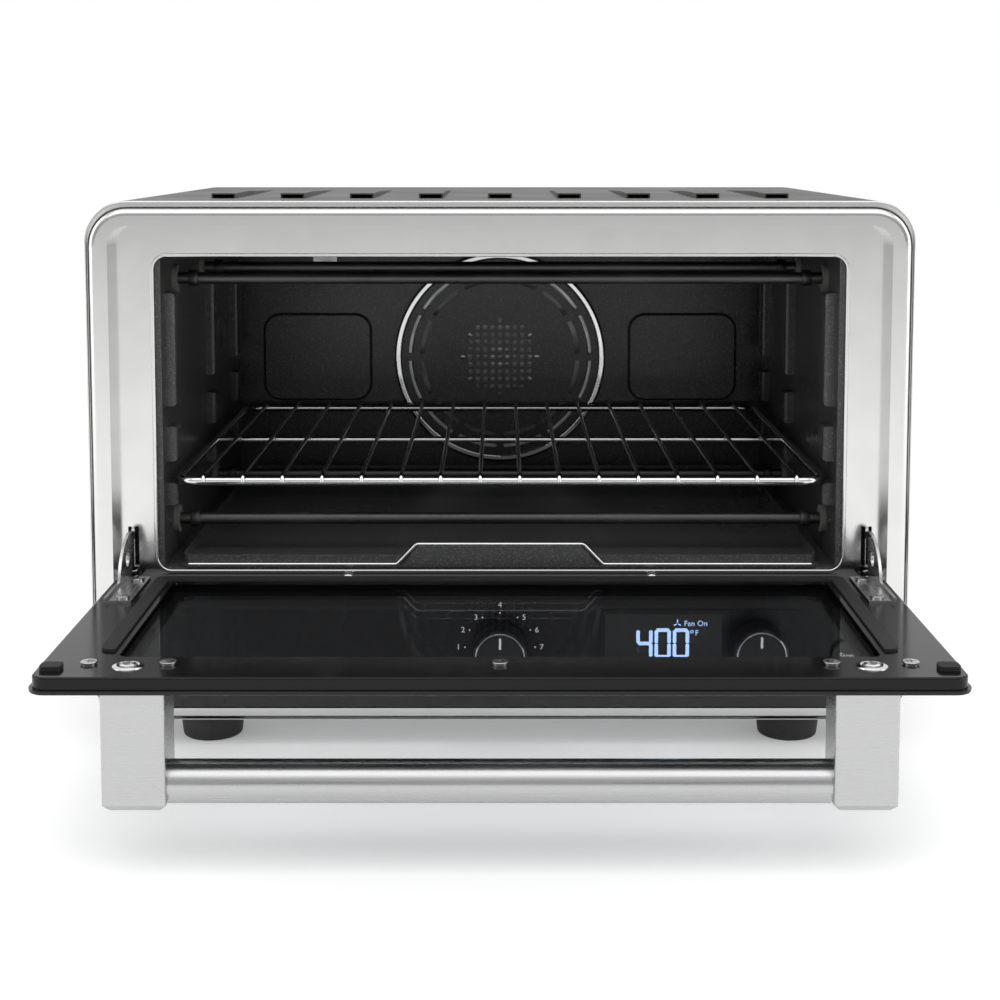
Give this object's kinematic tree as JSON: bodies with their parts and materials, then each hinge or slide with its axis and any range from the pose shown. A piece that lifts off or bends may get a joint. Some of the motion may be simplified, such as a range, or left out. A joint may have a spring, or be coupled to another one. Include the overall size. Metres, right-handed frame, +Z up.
{
  "type": "toaster oven",
  "caption": "Countertop convection toaster oven with a drop-down glass door and bar handle, wire rack, crumb tray, knobs, push buttons and a digital display.",
  "frame": {"origin": "on the floor, midway along the whole length with the door open", "axes": "+X to the right seen from the front, +Y to the back, +Z up"},
  "size_m": [0.435, 0.508, 0.2956],
  "materials": {
    "housing_paint": "satin grey powder coat",
    "galvanised": "dull galvanised sheet",
    "bezel_steel": "semi-polished stainless",
    "cavity_enamel": "semi-gloss charcoal enamel",
    "bright_chrome": "bright plated",
    "element_sheath": "dull bright sheath",
    "ceramic": "unglazed",
    "insulation": "glass wool blanket",
    "probe_steel": "plain stainless",
    "motor_steel": "zinc plated",
    "impeller": "plain aluminium",
    "panel_black": "gloss black",
    "display_glass": "dark tinted lens",
    "circuit_board": "green laminate",
    "switch_plastic": "matt black",
    "knob_black": "satin black",
    "foot_rubber": "matt black",
    "screw_steel": "plain steel",
    "gland_nylon": "black nylon",
    "hinge_steel": "zinc plated steel",
    "door_outer": "satin black",
    "door_inner": "gloss black enamel",
    "door_glass": "smoke tinted, heat-proof",
    "seal_rubber": "matt black",
    "handle_metal": "fine brushed",
    "tray_enamel": "semi-gloss charcoal enamel"
  },
  "bodies": {
    "oven_body": {"base_plate": "galvanised", "button_switches": "switch_plastic", "cable_gland": "gland_nylon", "cavity_back_wall": "cavity_enamel", "cavity_ceiling": "cavity_enamel", "cavity_floor": "cavity_enamel", "cavity_left_wall": "cavity_enamel", "cavity_right_wall": "cavity_enamel", "control_board": "circuit_board", "control_panel": "panel_black", "display_lens": "display_glass", "display_module": "panel_black", "element_insulators": "ceramic", "fan_cover": "cavity_enamel", "fan_cover_ring": "bright_chrome", "fan_housing": "galvanised", "fan_motor": "motor_steel", "feet": "foot_rubber", "foot_screws": "screw_steel", "front_bezel": "bezel_steel", "hinge_pins": "hinge_steel", "insulation_blanket": "insulation", "left_door_spring": "hinge_steel", "left_hinge_bracket": "hinge_steel", "lower_front_element": "element_sheath", "lower_rear_element": "element_sheath", "mode_encoder": "switch_plastic", "outer_housing": "housing_paint", "power_board": "circuit_board", "rear_fan_cover": "galvanised", "rear_panel": "galvanised", "rear_screws": "screw_steel", "right_door_spring": "hinge_steel", "right_hinge_bracket": "hinge_steel", "setting_encoder": "switch_plastic", "spring_anchors": "hinge_steel", "temperature_probe": "probe_steel", "upper_front_element": "element_sheath", "upper_rear_element": "element_sheath"},
    "door": {"door_outer_panel": "door_outer", "door_inner_panel": "door_inner", "inner_glass": "door_glass", "outer_glass": "door_glass", "door_gasket": "seal_rubber", "door_bumpers": "seal_rubber", "door_screws": "screw_steel", "hinge_arm_screws": "screw_steel", "handle_bolts": "screw_steel", "left_handle_post": "handle_metal", "right_handle_post": "handle_metal", "handle_bar": "handle_metal", "left_hinge_arm": "hinge_steel", "right_hinge_arm": "hinge_steel"},
    "rack": {"wire_rack": "bright_chrome"},
    "tray": {"crumb_tray": "tray_enamel"},
    "mode_knob": {"mode_knob": "knob_black"},
    "setting_knob": {"setting_knob": "knob_black"},
    "upper_button": {"upper_button": "knob_black"},
    "lower_button": {"lower_button": "knob_black"},
    "fan": {"fan_impeller": "impeller"}
  },
  "joints": [
    {"name": "door_hinge", "type": "hinge", "parent": "oven_body", "child": "door", "pos_m": [0, -0.07475, 0.08975], "axis": [-1, 0, 0], "range_deg": [0, 90], "deforming": ["left_door_spring", "right_door_spring"]},
    {"name": "rack_slide", "type": "slide", "parent": "oven_body", "child": "rack", "axis": [0, 1, 0], "range_m": [-0.2, 0]},
    {"name": "tray_slide", "type": "slide", "parent": "oven_body", "child": "tray", "axis": [0, 1, 0], "range_m": [-0.2, 0]},
    {"name": "mode_knob_turn", "type": "hinge", "parent": "oven_body", "child": "mode_knob", "pos_m": [0, -0.0794, 0.0558], "axis": [0, 1, 0], "continuous": true},
    {"name": "setting_knob_turn", "type": "hinge", "parent": "oven_body", "child": "setting_knob", "pos_m": [0.1364, -0.0794, 0.0565], "axis": [0, 1, 0], "continuous": true},
    {"name": "upper_button_press", "type": "slide", "parent": "oven_body", "child": "upper_button", "axis": [0, 1, 0], "range_m": [0, 0.001], "stiffness_N_per_m": 600},
    {"name": "lower_button_press", "type": "slide", "parent": "oven_body", "child": "lower_button", "axis": [0, 1, 0], "range_m": [0, 0.001], "stiffness_N_per_m": 600},
    {"name": "fan_spin", "type": "hinge", "parent": "oven_body", "child": "fan", "pos_m": [0, 0.214, 0.1765], "axis": [0, 1, 0], "continuous": true}
  ]
}
